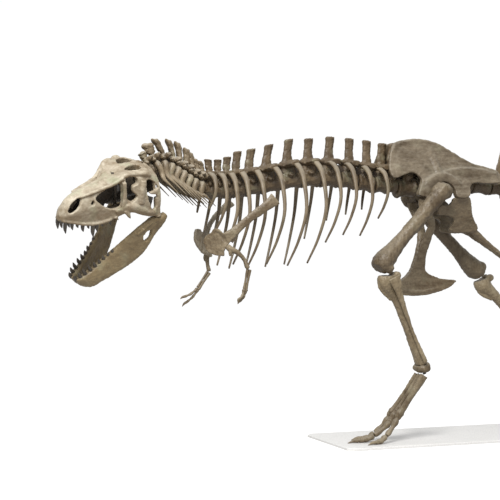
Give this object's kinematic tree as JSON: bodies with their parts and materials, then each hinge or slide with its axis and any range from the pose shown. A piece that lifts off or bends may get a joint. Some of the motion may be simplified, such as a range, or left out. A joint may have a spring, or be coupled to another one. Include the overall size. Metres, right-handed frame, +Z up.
{
  "type": "mounted dinosaur skeleton",
  "caption": "Life-size standing skeleton of a two-legged meat-eating dinosaur, mouth open, head turned, tail held out level behind.",
  "frame": {"origin": "on the floor, below the middle of the bounding box of the skeleton and its base", "axes": "+Z up, -X where the animal faces, -Y its left side"},
  "size_m": [10.9435, 1.6744, 3.605],
  "materials": {
    "bone": "matt grey-brown fossil bone",
    "pad": "black painted joint pad",
    "stand": "flat board painted pale grey"
  },
  "bodies": {
    "root": {"ankle_left": "bone", "ankle_pad_left": "pad", "ankle_pad_right": "pad", "ankle_right": "bone", "femur_left": "bone", "femur_right": "bone", "fibula_left": "bone", "fibula_right": "bone", "foot_bone_inner_left": "bone", "foot_bone_inner_right": "bone", "foot_bone_middle_left": "bone", "foot_bone_middle_right": "bone", "foot_bone_outer_left": "bone", "foot_bone_outer_right": "bone", "hand_left": "bone", "hand_right": "bone", "humerus_left": "bone", "humerus_right": "bone", "ilium_left": "bone", "ilium_right": "bone", "ischium_left": "bone", "ischium_right": "bone", "jaw_left": "bone", "jaw_right": "bone", "neck_front": "bone", "neck_rear": "bone", "pubis": "bone", "radius_left": "bone", "radius_right": "bone", "rib_cage_left": "bone", "rib_cage_right": "bone", "sacrum": "bone", "scapula_left": "bone", "scapula_right": "bone", "skull": "bone", "stand_base": "stand", "tail_base": "bone", "tail_front": "bone", "tail_rear": "bone", "tail_tip": "bone", "tibia_left": "bone", "tibia_right": "bone", "toe_inner_left": "bone", "toe_inner_right": "bone", "toe_middle_left": "bone", "toe_middle_right": "bone", "toe_outer_left": "bone", "toe_outer_right": "bone", "ulna_left": "bone", "ulna_right": "bone"}
  },
  "joints": []
}
